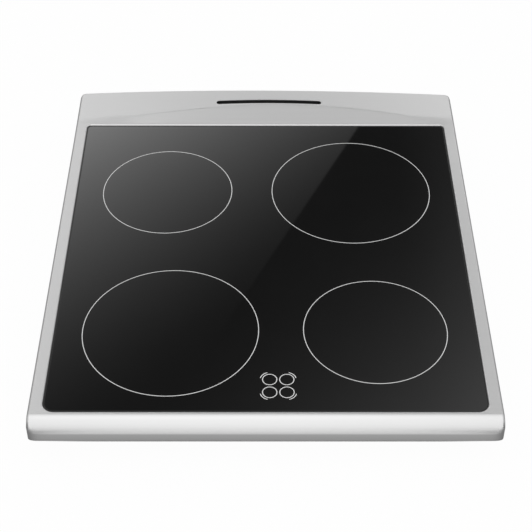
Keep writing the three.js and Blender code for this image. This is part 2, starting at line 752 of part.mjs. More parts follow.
// Posts between the tray's floor and a board.
function boardPosts(places) {
  return places.map(([x, y]) => turned(discProfile(3.5, TRAY_FLOOR, BOARD_BOTTOM + JOIN), 8, x, y));
}

// A power board on four posts, with the capacitors, chokes and relays that stand on it.
function powerBoard(unit) {
  const left = unit.left;
  const right = left + UNIT_WIDTH;
  const front = -225;
  const back = 76;
  const corners = [left + POST_INSET, right - POST_INSET].flatMap((x) => [
    [x, front + POST_INSET],
    [x, back - POST_INSET],
  ]);
  const middle = left + 123;
  const capacitors = [-190, -130].map((y) =>
    turned(discProfile(14, BOARD_TOP - JOIN, 30), 12, middle, y),
  );
  const relays = [[-70, 22], [-25, 18], [20, 26]].map(([y, top]) =>
    box(middle - COMPONENT_REACH, middle + COMPONENT_REACH, y - 14, y + 14, BOARD_TOP - JOIN, top),
  );
  const board = box(left, right, front, back, BOARD_BOTTOM, BOARD_TOP);
  return union(board, ...boardPosts(corners), ...capacitors, ...relays);
}

// An extruded heat sink: seven fins on a base, in line with the blower's outlet.
function heatSink(unit) {
  const left = unit.fanX - OUTLET_OFFSET - SINK_WIDTH / 2;
  const base = BOARD_TOP + 4;
  const fins = 7;
  const fin = 1.6;
  const pitch = (SINK_WIDTH - fin) / (fins - 1);
  const points = [[left, BOARD_TOP], [left + SINK_WIDTH, BOARD_TOP]];
  for (let i = fins - 1; i >= 0; i--) {
    const x = left + i * pitch;
    if (i < fins - 1) points.push([x + fin, base]);
    points.push([x + fin, RAIL_HEIGHT], [x, RAIL_HEIGHT]);
    if (i > 0) points.push([x, base]);
  }
  return drawnAlongY(polygon(points), SINK_FRONT, SINK_BACK);
}

// The filter board between the blowers, with its choke and capacitors.
function filterBoard() {
  const half = 38;
  const front = 84;
  const back = 180;
  const tall = 24; // top of its components
  const corners = [-half + 6, half - 6].flatMap((x) => [[x, front + 6], [x, back - 6]]);
  const choke = turned(ringProfile(5, 15, BOARD_TOP - JOIN, tall), 16, -16, 112);
  const capacitors = [100, 122].map((y) => box(8, 32, y - 8, y + 8, BOARD_TOP - JOIN, tall));
  const board = box(-half, half, front, back, BOARD_BOTTOM, BOARD_TOP);
  return union(board, ...boardPosts(corners), choke, ...capacitors);
}

// A five-pole terminal block: the wires go in from the rear, and each is clamped by a screw that
// sits in a well in the top.
function terminalBlock() {
  const half = 30;
  const front = 152;
  const back = 172;
  const top = BOARD_TOP + 18;
  const pitch = 11.5;
  const wireHalf = 3.5;
  const wellHalf = 3;
  const cuts = [];
  for (let i = -2; i <= 2; i++) {
    const x = i * pitch;
    const middleZ = BOARD_TOP + 7.5;
    cuts.push(box(x - wireHalf, x + wireHalf, back - 9, back + 1, middleZ - wireHalf, middleZ + wireHalf));
    cuts.push(box(x - wellHalf, x + wellHalf, front + 4, front + 4 + 2 * wellHalf, top - 6, top + 1));
  }
  return cut(box(-half, half, front, back, BOARD_TOP, top), ...cuts);
}

// ---------------------------------------------------------------- blowers

const TONGUE_RADIUS = 37.5; // the scroll's radius grows from here ...
const SCROLL_RADIUS = 48; // ... to here
const OUTLET_REACH = 56; // from the impeller's axis to the outlet

// The scroll's outline seen from above: a spiral that opens into an outlet towards -Y.
function scrollOutline(x, y, inset, outletReach) {
  const tongueAngle = THREE.MathUtils.degToRad(230);
  const sweep = THREE.MathUtils.degToRad(310);
  const first = TONGUE_RADIUS - inset;
  const last = SCROLL_RADIUS - inset;
  const steps = 20;
  const tongueX = TONGUE_RADIUS * Math.cos(tongueAngle) - inset;
  const points = [[x - last, y - outletReach], [x + tongueX, y - outletReach]];
  if (inset > 0) points.push([x + tongueX, y - 31]);
  for (let i = 0; i <= steps; i++) {
    const angle = tongueAngle + (sweep * i) / steps;
    const radius = first + ((last - first) * i) / steps;
    points.push([x + radius * Math.cos(angle), y + radius * Math.sin(angle)]);
  }
  return polygon(points);
}

// The housing is open below, over the tray's air inlet, and at its outlet.
function fanHousing(unit) {
  const wall = 1.8;
  const outer = scrollOutline(unit.fanX, FAN_Y, 0, OUTLET_REACH);
  const inner = scrollOutline(unit.fanX, FAN_Y, wall, OUTLET_REACH + 4);
  const shell = raised(outer, TRAY_FLOOR, HOUSING_TOP);
  return shell.subtract(raised(inner, TRAY_FLOOR - 1, HOUSING_TOP - HOUSING_LID));
}

// The motor hangs from the housing's lid; its shaft points down and ends in a retaining washer.
function fanMotor(unit) {
  const washerBottom = 8.2;
  const washerTop = 9.1;
  const lid = HOUSING_TOP - HOUSING_LID;
  const profile = [
    [0, washerBottom],
    [SHAFT_RADIUS + 2, washerBottom],
    [SHAFT_RADIUS + 2, washerTop],
    [SHAFT_RADIUS, washerTop],
    [SHAFT_RADIUS, lid - 2.1],
    [11, lid - 2.1],
    [12, lid],
    [0, lid],
  ];
  return turned(profile, 12, unit.fanX, FAN_Y);
}

// The impeller: forward-curved blades between a back plate and a rim, round a hub on the shaft.
function fanRotor(unit) {
  const x = unit.fanX;
  const bore = SHAFT_RADIUS + GAP;
  const hubBottom = 9.5;
  const plateTop = 23.8;
  const plate = [
    [bore, hubBottom],
    [8, hubBottom],
    [9, plateTop - 3.8],
    [ROTOR_RADIUS, plateTop - 1.8],
    [ROTOR_RADIUS, plateTop],
    [bore, plateTop],
    [bore, hubBottom],
  ];
  const rimBottom = 4;
  const rim = ringProfile(ROTOR_RADIUS - 3.5, ROTOR_RADIUS + 0.2, rimBottom, rimBottom + 1.6);
  const bladeRoot = 22;
  const blades = [];
  for (let i = 0; i < ROTOR_BLADES; i++) {
    const blade = new THREE.Shape();
    blade.moveTo(bladeRoot, -0.4);
    blade.quadraticCurveTo(29, -3, ROTOR_RADIUS - 0.3, 1.6);
    blade.lineTo(ROTOR_RADIUS - 0.9, 2.6);
    blade.quadraticCurveTo(28.5, -1.6, bladeRoot, 0.8);
    const options = { depth: 17.5, bevelEnabled: false, curveSegments: 2 };
    const geometry = new THREE.ExtrudeGeometry(blade, options).translate(0, 0, rimBottom + 1);
    blades.push(solid(geometry.rotateZ((2 * Math.PI * i) / ROTOR_BLADES).translate(x, FAN_Y, 0)));
  }
  return union(turned(plate, 18, x, FAN_Y), turned(rim, 24, x, FAN_Y), ...blades);
}

// ---------------------------------------------------------------- residual-heat indicator

const HOLDER_TOP = 37;
const HOLDER_REACH = 18; // from its middle to either side

// A moulded holder that stands on the front rail and carries the lamp board.
function indicatorHolder() {
  const x0 = INDICATOR_X - HOLDER_REACH - 4;
  const x1 = INDICATOR_X + HOLDER_REACH + 4;
  const shelf = box(x0, x1, FRONT_RAIL_Y, INDICATOR_Y + HOLDER_REACH, HOLDER_TOP - 1.5, HOLDER_TOP);
  const legs = [x0, x1 - 4].map((x) =>
    box(x, x + 4, FRONT_RAIL_Y, FRONT_RAIL_Y + RAIL_WIDTH, RAIL_HEIGHT, HOLDER_TOP - 1),
  );
  return union(shelf, ...legs);
}

// A plate over the middle of the indicator, `reach` from its middle to every side.
function indicatorPlate(reach, z0, z1) {
  return box(INDICATOR_X - reach, INDICATOR_X + reach, INDICATOR_Y - reach, INDICATOR_Y + reach, z0, z1);
}

const LAMP_BOARD_TOP = HOLDER_TOP + 1.6;

// Four clear light pipes on one foot plate, one under each ring of the indicator.
function lightGuide() {
  const foot = indicatorPlate(HOLDER_REACH - 1, LAMP_BOARD_TOP, LAMP_BOARD_TOP + 1.5);
  const half = INDICATOR_PITCH / 2;
  const pipes = [-half, half].flatMap((dx) =>
    [-half, half].map((dy) =>
      turned(discProfile(6.5, LAMP_BOARD_TOP + 1, GLASS_BOTTOM), 10, INDICATOR_X + dx, INDICATOR_Y + dy),
    ),
  );
  return union(foot, ...pipes);
}

// ---------------------------------------------------------------- the assembly

const cooktop = new THREE.Group();
cooktop.name = "induction_cooktop";

function addNode(name, made, finish) {
  const mesh = new THREE.Mesh(geometryOf(made), new THREE.MeshStandardMaterial(finish));
  mesh.name = name;
  cooktop.add(mesh);
}

addNode("top_frame", topFrame(), STEEL);
addNode("glass_support", glassSupport(), GALVANISED);
addNode("glass_panel", glassPanel(), GLASS);
addNode("glass_seal", glassSeal(), SILICONE);
addNode("vent_duct", ventDuct(), BLACK_ENAMEL);
addNode("base_tray", baseTray(), GALVANISED);
addNode("cable_grommet", cableGrommet(), SILICONE);
TRAY_SCREWS.forEach((at, i) => addNode(`tray_screw_${i + 1}`, trayScrew(at), ZINC));

for (const [label, side] of [["left", -1], ["right", 1]]) {
  addNode(`rear_bracket_${label}`, rearBracket(side), GALVANISED);
  addNode(`coil_plate_${label}`, coilPlate(side), ALUMINIUM);
  addNode(`leaf_spring_front_${label}`, leafSpring(side * 110, FRONT_RAIL_Y), ZINC);
  addNode(`leaf_spring_rear_${label}`, leafSpring(side * 110, REAR_RAIL_Y), ZINC);
}

for (const unit of UNITS) {
  addNode(`power_board_${unit.label}`, powerBoard(unit), BOARD);
  addNode(`heat_sink_${unit.label}`, heatSink(unit), ALUMINIUM);
  addNode(`fan_housing_${unit.label}`, fanHousing(unit), BLACK_PLASTIC);
  addNode(`fan_motor_${unit.label}`, fanMotor(unit), ZINC);
  addNode(`fan_rotor_${unit.label}`, fanRotor(unit), BLACK_PLASTIC);
}

addNode("cross_rail_front", crossRail(FRONT_RAIL_Y), GALVANISED);
addNode("cross_rail_rear", rearRail(), GALVANISED);

for (const zone of ZONES) {
  addNode(`coil_carrier_${zone.name}`, coilCarrier(zone), CARRIER);
  addNode(`coil_winding_${zone.name}`, coilWinding(zone), COPPER);
  addNode(`insulation_disc_${zone.name}`, insulationDisc(zone), MICA);
  addNode(`glass_sensor_${zone.name}`, glassSensor(zone), CLEAR_PLASTIC);
}

addNode("filter_board", filterBoard(), BOARD);
addNode("terminal_block", terminalBlock(), BLACK_PLASTIC);
addNode("indicator_holder", indicatorHolder(), BLACK_PLASTIC);
addNode("indicator_board", indicatorPlate(HOLDER_REACH - 1, HOLDER_TOP, LAMP_BOARD_TOP), BOARD);
addNode("light_guide", lightGuide(), CLEAR_PLASTIC);

export default cooktop;
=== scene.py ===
"""Looks of the 500 mm cooktop: the pressed steel top, the black glass with its printed zones,
the seal, the vent duct, and the tray of coils and blowers. Metres, in the CAD's own frame."""

import math

import bmesh
import bpy
from mathutils import Euler, Matrix, Vector


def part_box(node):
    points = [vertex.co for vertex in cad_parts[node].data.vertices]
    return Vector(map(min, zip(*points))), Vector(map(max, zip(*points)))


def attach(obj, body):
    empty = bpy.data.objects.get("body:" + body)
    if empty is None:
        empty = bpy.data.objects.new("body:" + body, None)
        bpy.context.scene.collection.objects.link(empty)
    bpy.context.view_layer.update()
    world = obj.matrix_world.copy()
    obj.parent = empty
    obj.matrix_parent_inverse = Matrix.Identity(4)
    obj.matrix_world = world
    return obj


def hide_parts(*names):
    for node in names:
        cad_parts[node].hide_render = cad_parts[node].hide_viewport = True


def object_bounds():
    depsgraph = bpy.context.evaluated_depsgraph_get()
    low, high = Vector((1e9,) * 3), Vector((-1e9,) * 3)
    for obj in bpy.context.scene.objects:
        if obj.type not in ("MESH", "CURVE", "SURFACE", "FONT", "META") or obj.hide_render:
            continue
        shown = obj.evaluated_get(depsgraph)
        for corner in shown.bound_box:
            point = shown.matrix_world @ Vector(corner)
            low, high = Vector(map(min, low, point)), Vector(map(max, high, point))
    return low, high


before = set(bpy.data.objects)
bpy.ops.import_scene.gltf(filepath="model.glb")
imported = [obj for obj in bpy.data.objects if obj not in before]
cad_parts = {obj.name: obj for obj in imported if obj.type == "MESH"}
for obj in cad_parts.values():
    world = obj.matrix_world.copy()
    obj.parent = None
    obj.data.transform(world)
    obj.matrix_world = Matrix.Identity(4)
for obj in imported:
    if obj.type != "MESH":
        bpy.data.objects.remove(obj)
cad_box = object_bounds()
MM = 0.001

# ------------------------------------------------------------------ camera
# The camera stands in front of the cooktop, a little to the left of its middle, and looks down on
# the glass. Its place is counted from the front edge of the opening and the top of the glass.

glass_low, glass_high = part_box("glass_panel")
joint = 1 * MM
opening_front = glass_low.y - joint
glass_top = glass_high.z

camera = bpy.data.objects.new("camera", bpy.data.cameras.new("camera"))
bpy.context.scene.collection.objects.link(camera)
camera.data.lens = 90.57
camera.data.sensor_width = 36
camera.data.clip_start = 0.05
camera.location = (-1.75 * MM, opening_front - 928.3 * MM, glass_top + 1059.4 * MM)
pitch, yaw, roll = math.radians(42.543), math.radians(-0.111), math.radians(0.096)
turn = Euler((math.pi / 2 - pitch, 0, yaw)).to_matrix() @ Matrix.Rotation(roll, 3, "Z")
camera.rotation_euler = turn.to_euler()
bpy.context.scene.camera = camera

# ------------------------------------------------------------------ studio
# A white floor that keeps a soft shadow, with painted shade in what the steel mirrors of it, one
# large soft lamp overhead, and surroundings that are white to the eye, but graded for what the
# steel and the glass mirror.

bpy.context.scene.view_settings.view_transform = "Standard"


def new_material(name):
    """A material with empty nodes, and a function that adds a node and fills in its sockets."""
    material = bpy.data.materials.new(name)
    material.use_nodes = True
    tree = material.node_tree
    tree.nodes.clear()
    return material, node_maker(tree)


def node_maker(tree):
    """A function that adds a node: _0, _1 and so on fill in sockets by number, the rest by name."""

    def node(kind, settings=None, **inputs):
        made = tree.nodes.new("ShaderNode" + kind)
        for key, value in (settings or {}).items():
            setattr(made, key, value)
        for key, value in inputs.items():
            by_number = key[1:].isdigit()
            socket = made.inputs[int(key[1:]) if by_number else key.replace("_", " ")]
            if isinstance(value, bpy.types.NodeSocket):
                tree.links.new(value, socket)
            else:
                socket.default_value = value
        return made

    return node


def add_levels(node, value, stops):
    """A brightness that goes from stop to stop as a value grows."""
    low, high = stops[0][0], stops[-1][0]
    place = node("MapRange", Value=value, From_Min=low, From_Max=high).outputs[0]
    ramp = node("ValToRGB", _0=place)
    ramp.color_ramp.elements.remove(ramp.color_ramp.elements[1])
    for index, (stop, level) in enumerate(stops):
        place = (stop - low) / (high - low)
        element = ramp.color_ramp.elements[0] if index == 0 else ramp.color_ramp.elements.new(place)
        element.position = place
        element.color = (level, level, level, 1)
    return ramp.outputs[0]


def calculate(node, operation, *values):
    """A sum done on numbers and sockets; the operation is named as on Blender's Math node."""
    inputs = {f"_{i}": value for i, value in enumerate(values)}
    return node("Math", {"operation": operation}, **inputs).outputs[0]


def product(node, first, *factors):
    """All the factors multiplied."""
    for factor in factors:
        first = calculate(node, "MULTIPLY", first, factor)
    return first


def fade(node, value, low, high, to_low=0.0, to_high=1.0):
    """Goes softly from one level to another as a value goes from low to high."""
    return node(
        "MapRange",
        {"interpolation_type": "SMOOTHSTEP"},
        Value=value, From_Min=low, From_Max=high, To_Min=to_low, To_Max=to_high,
    ).outputs[0]


def deselect_all():
    for thing in bpy.context.selected_objects:
        thing.select_set(False)


deselect_all()
bpy.ops.mesh.primitive_plane_add(size=8, location=(0, 0, -0.2 * MM))
floor = bpy.context.object
floor.name = "floor"
floor_material, node = new_material("pale_floor")
paper = node("BsdfDiffuse", Color=(0.85, 0.85, 0.85, 1))
glow = node("Emission", Color=(1, 1, 1, 1), Strength=1.0)
rays = node("LightPath").outputs
floor_x, floor_y, _ = node("SeparateXYZ", _0=node("TexCoord").outputs["Object"]).outputs
from_the_middle = calculate(node, "ABSOLUTE", floor_x)

# The eye and the lens see a white floor, apart from the shade right under the cooktop.
whiteness, deepest_shade = 0.97, 0.9
front_edge, rear_edge, side_edge = cad_box[0].y, cad_box[1].y, cad_box[1].x
under = product(
    node,
    fade(node, floor_y, front_edge + 21.5 * MM, front_edge + 22.5 * MM),
    fade(node, floor_y, rear_edge - 20 * MM, rear_edge, 1.0, 0.0),
    fade(node, from_the_middle, side_edge - 70 * MM, side_edge, 1.0, 0.0),
)
seen = calculate(node, "MAXIMUM", rays["Is Camera Ray"], rays["Is Transmission Ray"])
white_share = calculate(node, "SUBTRACT", whiteness, product(node, under, deepest_shade))
white_share = product(node, seen, white_share)
to_the_eye = node("MixShader", _0=white_share, _1=paper.outputs[0], _2=glow.outputs[0])

# What the steel mirrors of the floor is a glow painted on it for glossy rays only, by the distance
# behind the front edge: white well in front of the cooktop, and painted shade that is darker close
# to it, dark under its edges, and dim behind it and at its sides.
in_front = [(-0.3, 1.12), (-0.18, 1.04), (-0.11, 0.9), (-0.07, 0.78), (-0.04, 0.6), (-0.02, 0.37)]
painted_shade_beneath = [(0, 0.06), (0.02, 0.06), (0.05, 0.4), (0.52, 0.4), (0.54, 0.06), (0.55, 0.06)]
behind = [(0.6, 0.12), (0.66, 0.25), (0.8, 0.5), (1.3, 0.7)]
painted_floor_levels = [(front_edge + y, level) for y, level in in_front + painted_shade_beneath + behind]
painted_floor_glow = node("Emission", Color=add_levels(node, floor_y, painted_floor_levels), Strength=1.0)
# A dim glow painted beside the cooktop: painted shade at its sides.
painted_dim_glow = node("Emission", Color=(0.28, 0.28, 0.28, 1), Strength=1.0)
at_the_side = fade(node, from_the_middle, side_edge - 15 * MM, side_edge + 35 * MM)
painted_floor_glow = node("MixShader", _0=at_the_side, _1=painted_floor_glow.outputs[0], _2=painted_dim_glow.outputs[0])
# Only glossy rays see the painted glow and painted shade; the eye sees the white floor.
is_mirrored = rays["Is Glossy Ray"]
surface = node("MixShader", _0=is_mirrored, _1=to_the_eye.outputs[0], _2=painted_floor_glow.outputs[0])

# From below, the floor is clear, so that the underside can be looked at.
from_below = node("NewGeometry").outputs["Backfacing"]
clear = node("BsdfTransparent")
surface = node("MixShader", _0=from_below, _1=surface.outputs[0], _2=clear.outputs[0])
node("OutputMaterial", Surface=surface.outputs[0])
floor.data.materials.append(floor_material)

world = bpy.data.worlds.new("studio")
bpy.context.scene.world = world
world.use_nodes = True
world.node_tree.nodes.clear()
node = node_maker(world.node_tree)
direction = node("TexCoord").outputs["Generated"]
sideways, rearward, upward = node("SeparateXYZ", _0=direction).outputs


def blend(share, first, second):
    """Goes from the first brightness to the second as the share goes from 0 to 1."""
    difference = calculate(node, "SUBTRACT", second, first)
    return calculate(node, "ADD", first, product(node, difference, share))


# The light all round, by the angle in degrees from the rear over the top to the front: dim low
# behind, a soft band beside the card, bright from overhead to the front, and dim at both sides.
angle = product(node, calculate(node, "ARCTAN2", upward, rearward), 180 / math.pi)
low_left = [
    (0, 0.3), (15, 0.35), (28, 0.75), (36, 1.25), (44, 1.5), (52, 1.35), (58, 0.8), (63, 0.5),
]
low_right = [
    (0, 0.3), (15, 0.6), (28, 1.35), (36, 1.4), (44, 1.02), (52, 0.84), (58, 0.6), (63, 0.5),
]
overhead = [
    (68, 0.55), (73, 0.97), (79, 1.24), (88, 1.27), (100, 1.28),
    (120, 1.42), (140, 1.42), (160, 1.32), (180, 1.18),
]
at_both_sides = [
    (0, 0.35), (30, 0.6), (60, 0.65), (90, 0.8), (115, 0.8), (140, 0.3), (160, 0.18), (180, 0.18),
]
middle_of_the_sky = blend(
    fade(node, sideways, -0.25, 0.25),
    add_levels(node, angle, low_left + overhead),
    add_levels(node, angle, low_right + overhead),
)
to_the_side = fade(node, calculate(node, "ABSOLUTE", sideways), 0.24, 0.5)
sky = blend(to_the_side, middle_of_the_sky, add_levels(node, angle, at_both_sides))

# A graded card hangs behind the cooktop, just where the glass mirrors it. It is bright at the upper
# left and ends there along a leaning edge; the lower right glows a little.
height = calculate(node, "MAXIMUM", upward, 0.05)
across = calculate(node, "DIVIDE", sideways, height)
depth = calculate(node, "DIVIDE", rearward, height)


def slope(by_across, by_depth, offset):
    """Zero on one side of a leaning line on the card, and growing away from it on the other."""
    along, up = product(node, across, by_across), product(node, depth, by_depth)
    leaning = calculate(node, "ADD", calculate(node, "ADD", along, up), offset)
    return calculate(node, "MAXIMUM", leaning, 0.0)


leaning_edge = fade(node, slope(1.0, -0.4545, 0.5947), 0.098, 0.102, 1.0, 0.0)
left_rise = calculate(node, "POWER", slope(-0.765, 0.695, -0.694), 2.0)
left_glow = calculate(node, "MINIMUM", product(node, left_rise, 14.5, leaning_edge), 2.6)
right_rise = calculate(node, "POWER", slope(0.766, -0.643, 0.752), 3.0)
right_glow = calculate(node, "MINIMUM", product(node, right_rise, 15.0), 0.9)
card = calculate(node, "ADD", left_glow, right_glow)
card = calculate(node, "ADD", card, fade(node, across, 0.15, 0.24, 0.0, 0.08))
on_card = product(
    node,
    fade(node, across, -0.28, -0.23),
    fade(node, across, 0.26, 0.34, 1.0, 0.0),
    fade(node, depth, 0.76, 0.84),
    fade(node, depth, 1.355, 1.41, 1.0, 0.0),
)
graded = blend(on_card, sky, card)

studio_light = node("Background", Color=(1, 1, 1, 1), Strength=graded)
white = node("Background", Color=(1, 1, 1, 1), Strength=1.0)
rays = node("LightPath").outputs
seen = calculate(node, "MAXIMUM", rays["Is Camera Ray"], rays["Is Transmission Ray"])
mixed = node("MixShader", _0=seen, _1=studio_light.outputs[0], _2=white.outputs[0])
node("OutputWorld", Surface=mixed.outputs[0])

lamp = bpy.data.objects.new("overhead_softbox", bpy.data.lights.new("overhead_softbox", "AREA"))
bpy.context.scene.collection.objects.link(lamp)
lamp.data.shape = "RECTANGLE"
lamp.data.size = 1.4
lamp.data.size_y = 0.8
lamp.data.energy = 1
lamp.location = (-0.15, -0.45, 1.9)
lamp.rotation_euler = (math.radians(-8), 0, 0)

# ------------------------------------------------------------------ pressed steel top
# One stainless-steel sheet, 1 mm thick: a rounded nose at the front, narrow rails at the sides, and
# behind the glass a ramp that runs up into an arched rear with the slot of the oven vent. The sheet
# is folded down round the glass and flanged inwards under the skirt, and the slot is punched.

frame_low, frame_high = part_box("top_frame")
sheet = 1 * MM
rail_top = glass_top + 0.8 * MM
nose_reach, nose_tilt = 15.5 * MM, math.radians(10)
nose_radius = nose_reach / (math.cos(nose_tilt) - math.sin(nose_tilt))
edge_radius, rear_edge_radius = 3 * MM, 1.5 * MM
corner_radius = 7 * MM
front_corner = Vector((12 * MM, 4.5 * MM))
opening_back = glass_high.y + joint
opening_left, opening_right = glass_low.x - joint, glass_high.x + joint
ramp_foot = glass_top + 1.5 * MM
ramp_start = opening_back + 2.2 * MM
arch_rise, arch_drop, arch_reach = 8.7 * MM, 6.7 * MM, 245 * MM
rear_crown = -23 * MM
rise_start, rise_end = opening_back - 40 * MM, opening_back - 1.2 * MM
crease_middle, crease_side = opening_back + 35.8 * MM, opening_back + 15 * MM
crease_centre, crease_reach = 8 * MM, 240 * MM
crease_bow_left, crease_bow_right = 24.8 * MM, 35 * MM
crease_lean, crease_softness = 0.433, 0.4 * MM
hair = 0.01 * MM  # within this, two places are the same


def arch_height(x):
    """Height of the arch along the crease."""
    return glass_top + arch_rise - arch_drop * (x / arch_reach) ** 2


def rear_lift(x):
    """How much higher the rear edge is than the crease: its crown lies a little to the left."""
    drop = arch_drop if x < rear_crown else 0.9 * arch_drop
    return arch_drop * (x / arch_reach) ** 2 - drop * ((x - rear_crown) / arch_reach) ** 2


def edit(piece):
    """Opens a piece in edit mode with nothing selected, ready to pick vertices."""
    deselect_all()
    bpy.context.view_layer.objects.active = piece
    piece.select_set(True)
    bpy.ops.object.mode_set(mode="EDIT")
    bpy.ops.mesh.select_mode(type="VERT")
    bpy.ops.mesh.select_all(action="DESELECT")


def close_edit():
    bpy.ops.object.mode_set(mode="OBJECT")


def pick(kind, test):
    """Selects the vertices, edges or faces of the open piece that pass a test."""
    bpy.ops.mesh.select_mode(type={"verts": "VERT", "edges": "EDGE", "faces": "FACE"}[kind])
    mesh = bmesh.from_edit_mesh(bpy.context.object.data)
    for element in getattr(mesh, kind):
        element.select_set(test(element))
    mesh.select_flush_mode()
    bmesh.update_edit_mesh(bpy.context.object.data)


def middle(element):
    """Middle of an edge or a face."""
    corners = [vertex.co for vertex in element.verts]
    return sum(corners, Vector()) / len(corners)


def new_block(name, low, high):
    """A closed block between two corners, its place in its mesh."""
    deselect_all()
    low, high = Vector(low), Vector(high)
    bpy.ops.mesh.primitive_cube_add(size=1, location=(low + high) / 2, scale=high - low)
    block = bpy.context.object
    block.name = name
    bpy.ops.object.transform_apply(location=True, rotation=True, scale=True)
    return block


def modify(piece, kind, **settings):
    """Adds a modifier with these settings and applies it."""
    deselect_all()
    bpy.context.view_layer.objects.active = piece
    piece.select_set(True)
    bpy.ops.object.modifier_add(type=kind)
    modifier = piece.modifiers[-1]
    for key, value in settings.items():
        setattr(modifier, key, value)
    bpy.ops.object.modifier_apply(modifier=modifier.name)


def cut_away(piece, cutter):
    modify(piece, "BOOLEAN", operation="DIFFERENCE", object=cutter, solver="EXACT")
    bpy.data.objects.remove(cutter)


def is_upright(edge):
    start, end = edge.verts[0].co, edge.verts[1].co
    return abs(start.x - end.x) < hair and abs(start.y - end.y) < hair


def round_prism(name, low, high, front_radius, rear_radius, segments):
    """A block whose upright edges are round, with one radius in front and one at the rear."""
    prism = new_block(name, low, high)
    for radius, in_front in ((front_radius, True), (rear_radius, False)):
        edit(prism)
        mid_y = (low[1] + high[1]) / 2
        pick("edges", lambda edge: is_upright(edge) and (middle(edge).y < mid_y) == in_front)
        bpy.ops.mesh.bevel(offset=radius, segments=segments, affect="EDGES")
        close_edit()
    return prism


def crease_at(x):
    """Where the ramp reaches the arch: a line bowed towards the rear."""
    away = (x - crease_centre) / crease_reach
    if away > 0:
        bow = crease_bow_right * away**2
    else:
        bow = crease_bow_left * (away**2 - crease_lean * away)
    return max(crease_middle - bow, crease_side)


def soft_lower(first, second, softness):
    """The lower of two heights, with a soft change from one to the other."""
    near = max(softness - abs(first - second), 0) / softness
    return min(first, second) - near**2 * softness / 4


def surface_height(x, y):
    """Height of the pressed top, before its outer edge is rolled."""
    if y > ramp_start:
        arch = arch_height(x)
        crease = crease_at(x)
        ramp = ramp_foot + (arch - ramp_foot) * (y - ramp_start) / (crease - ramp_start)
        past_crease = max(y - crease, 0) / (frame_high.y - crease)
        return soft_lower(ramp, arch, crease_softness) + rear_lift(x) * past_crease
    from_front = y - frame_low.y
    if from_front < nose_reach:
        centre = nose_radius * math.cos(nose_tilt)
        return rail_top - centre + math.sqrt(nose_radius**2 - (centre - from_front) ** 2)
    risen = (y - rise_start) / (rise_end - rise_start)
    return rail_top + (ramp_foot - rail_top) * min(max(risen, 0), 1)


# The blank gets its upright corners and its rolled edge. In front the corners are drawn out
# sideways, and the roll fades round them, because the nose is round by itself. At the rear the roll
# is tighter.
steel_top = new_block("pressed_steel_top", frame_low, (frame_high.x, frame_high.y, rail_top))
edit(steel_top)
pick("edges", is_upright)
bpy.ops.mesh.bevel(offset=corner_radius, segments=8, affect="EDGES")
pick("faces", lambda face: face.normal.z > 0.99)
roll_steps = 6
roll_angle = math.pi / 2 / roll_steps
for step in range(1, roll_steps + 1):
    inwards = edge_radius * (math.cos(roll_angle * (step - 1)) - math.cos(roll_angle * step))
    bpy.ops.mesh.inset(thickness=inwards)
    mesh = bmesh.from_edit_mesh(steel_top.data)
    for vertex in mesh.verts:
        if vertex.select:
            vertex.co.z = rail_top + edge_radius * math.sin(roll_angle * step)
close_edit()
for vertex in steel_top.data.vertices:
    place = vertex.co
    from_side = frame_high.x - abs(place.x)
    from_front = place.y - frame_low.y
    if place.z > rail_top - hair:
        outward = Vector((max(corner_radius - from_side, 0), max(corner_radius - from_front, 0)))
        fading = outward.y**2 / outward.length_squared if outward.y > 0 else 0
        place.z += (rail_top + edge_radius - place.z) * fading - edge_radius
    from_rear = frame_high.y - place.y
    outward = Vector((max(corner_radius - from_side, 0), max(corner_radius - from_rear, 0)))
    if place.z > rail_top - edge_radius + hair and outward.y > 0:
        tighter = (1 - rear_edge_radius / edge_radius) * outward.y**2 / outward.length_squared
        shift = outward.normalized() * (corner_radius - outward.length) * tighter
        place.x += math.copysign(shift.x, place.x)
        place.y += shift.y
        place.z += (rail_top - place.z) * tighter
    if from_side < corner_radius + hair and from_front < corner_radius + hair:
        outer = 1 - from_front / corner_radius
        drawn = (front_corner.x - corner_radius) * (from_side / corner_radius) ** 2 * outer
        place.x -= math.copysign(drawn, place.x)
        place.y = frame_low.y + from_front * front_corner.y / corner_radius

# Lines across the blank where it is pressed: over the nose, where the rails rise, over the ramp,
# the crease and the arch. Lines from front to rear let the rear follow the arch.
edit(steel_top)
nose_steps = 18
tilts = [nose_tilt + (math.pi / 2 - 2 * nose_tilt) * i / nose_steps for i in range(nose_steps)]
lines = [frame_low.y + nose_radius * (math.cos(nose_tilt) - math.sin(tilt)) for tilt in tilts]
lines += [rise_start, rise_end]
lines += [ramp_start + (crease_middle - ramp_start) * i / 6 for i in (0, 1, 2, 3, 4)]
lines += [crease_middle + step * MM for step in (-3, -2, -1, 0, 1, 2, 3, 8, 16)]
for y in lines:
    bpy.ops.mesh.select_all(action="SELECT")
    bpy.ops.mesh.bisect(plane_co=(0, y, 0), plane_no=(0, 1, 0))
stations = 26
for i in range(1, stations):
    x = frame_low.x + (frame_high.x - frame_low.x) * i / stations
    pick("faces", lambda face: middle(face).y > opening_back - 1 * MM)
    bpy.ops.mesh.bisect(plane_co=(x, 0, 0), plane_no=(1, 0, 0))
close_edit()

# Pressing: the lines of the crease go to their bowed places, and each point to its height.
arch_back = frame_high.y - edge_radius
for vertex in steel_top.data.vertices:
    place = vertex.co
    if place.z < rail_top - edge_radius - hair:
        continue
    if ramp_start < place.y < arch_back:
        crease = crease_at(place.x)
        if place.y < crease_middle:
            share = (place.y - ramp_start) / (crease_middle - ramp_start)
            place.y = ramp_start + share * (crease - ramp_start)
        else:
            share = (place.y - crease_middle) / (arch_back - crease_middle)
            place.y = crease + share * (arch_back - crease)
    place.z += surface_height(place.x, place.y) - rail_top

# The opening for the glass is pressed in as a pocket; its floor comes out below.
support_top = glass_low.z - 1 * MM
cut_away(
    steel_top,
    round_prism(
        "opening_cutter",
        (opening_left, opening_front, support_top),
        (opening_right, opening_back, glass_top + 50 * MM),
        front_radius=13 * MM, rear_radius=6 * MM, segments=12,
    ),
)


